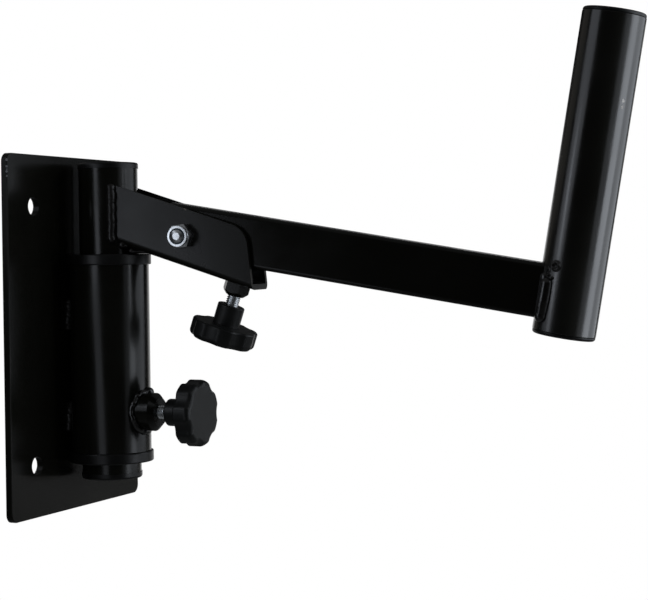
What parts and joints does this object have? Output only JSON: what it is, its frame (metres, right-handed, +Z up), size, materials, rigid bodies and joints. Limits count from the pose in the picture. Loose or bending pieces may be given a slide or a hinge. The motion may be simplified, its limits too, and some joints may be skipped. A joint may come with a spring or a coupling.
{
  "type": "speaker wall bracket",
  "caption": "Black steel speaker wall bracket: a wall plate with a clamped swivel tube, and a tilting arm, set by a screw with a star knob, that carries an upright speaker pole.",
  "frame": {"origin": "centre of the wall plate's back face", "axes": "+X away from the wall, +Y along the wall to the left of someone who faces away from it, +Z up"},
  "size_m": [0.3447, 0.14, 0.2824],
  "materials": {
    "black_paint": "semi-gloss black powder coat",
    "painted_weld": "black powder coat over rippled weld",
    "bush_plastic": "satin black nylon",
    "cap_plastic": "satin black polyethylene",
    "knob_plastic": "fine-textured black plastic",
    "zinc_steel": "bright zinc plating",
    "nylon": "translucent white nylon"
  },
  "bodies": {
    "wall_unit": {"wall_plate": "black_paint", "outer_sleeve": "black_paint", "sleeve_welds": "painted_weld", "upper_bush": "bush_plastic", "lower_bush": "bush_plastic", "lock_boss": "black_paint", "boss_weld": "painted_weld"},
    "swivel": {"swivel_tube": "black_paint", "tube_top_cap": "cap_plastic", "tube_bottom_cap": "cap_plastic", "tilt_channel": "black_paint", "channel_welds": "painted_weld", "tilt_nut": "black_paint", "pivot_bolt": "zinc_steel", "pivot_nut": "zinc_steel", "nylon_ring": "nylon"},
    "arm": {"arm_tube": "black_paint", "speaker_pole": "black_paint", "pole_top_cap": "cap_plastic", "pole_bottom_cap": "cap_plastic", "pole_weld": "painted_weld"},
    "tilt_screw": {"tilt_stud": "zinc_steel"},
    "tilt_handle": {"tilt_knob": "knob_plastic"},
    "lock_screw": {"lock_stud": "zinc_steel"},
    "lock_handle": {"lock_knob": "knob_plastic"}
  },
  "joints": [
    {"name": "swing", "type": "hinge", "parent": "wall_unit", "child": "swivel", "pos_m": [0.0275, 0, 0], "axis": [0, 0, 1], "range_deg": [-96, 84]},
    {"name": "tilt", "type": "hinge", "parent": "swivel", "child": "arm", "pos_m": [0.08021, 0.00554, 0.0565], "axis": [0.1045, -0.9945, 0], "range_deg": [-8, 9]},
    {"name": "tilt_screw_travel", "type": "slide", "parent": "swivel", "child": "tilt_screw", "axis": [0.3123, 0.0328, 0.9494], "range_m": [-0.005, 0.0056]},
    {"name": "tilt_knob_turn", "type": "hinge", "parent": "tilt_screw", "child": "tilt_handle", "pos_m": [0.10477, 0.00812, 0.01621], "axis": [0.3123, 0.0328, 0.9494], "range_deg": [-1379, 1549]},
    {"name": "lock_screw_travel", "type": "slide", "parent": "wall_unit", "child": "lock_screw", "axis": [1, 0, 0], "range_m": [0, 0.006]},
    {"name": "lock_knob_turn", "type": "hinge", "parent": "lock_screw", "child": "lock_handle", "pos_m": [0.0671, 0, -0.0464], "axis": [1, 0, 0], "range_deg": [-20, 1748]}
  ],
  "couplings": [
    {"joint": "tilt_screw_travel", "follows": "tilt", "m_per_rad": 0.0338},
    {"joint": "tilt_knob_turn", "follows": "tilt", "ratio": 169.9},
    {"joint": "lock_knob_turn", "follows": "lock_screw_travel", "rad_per_m": 5026.5}
  ]
}
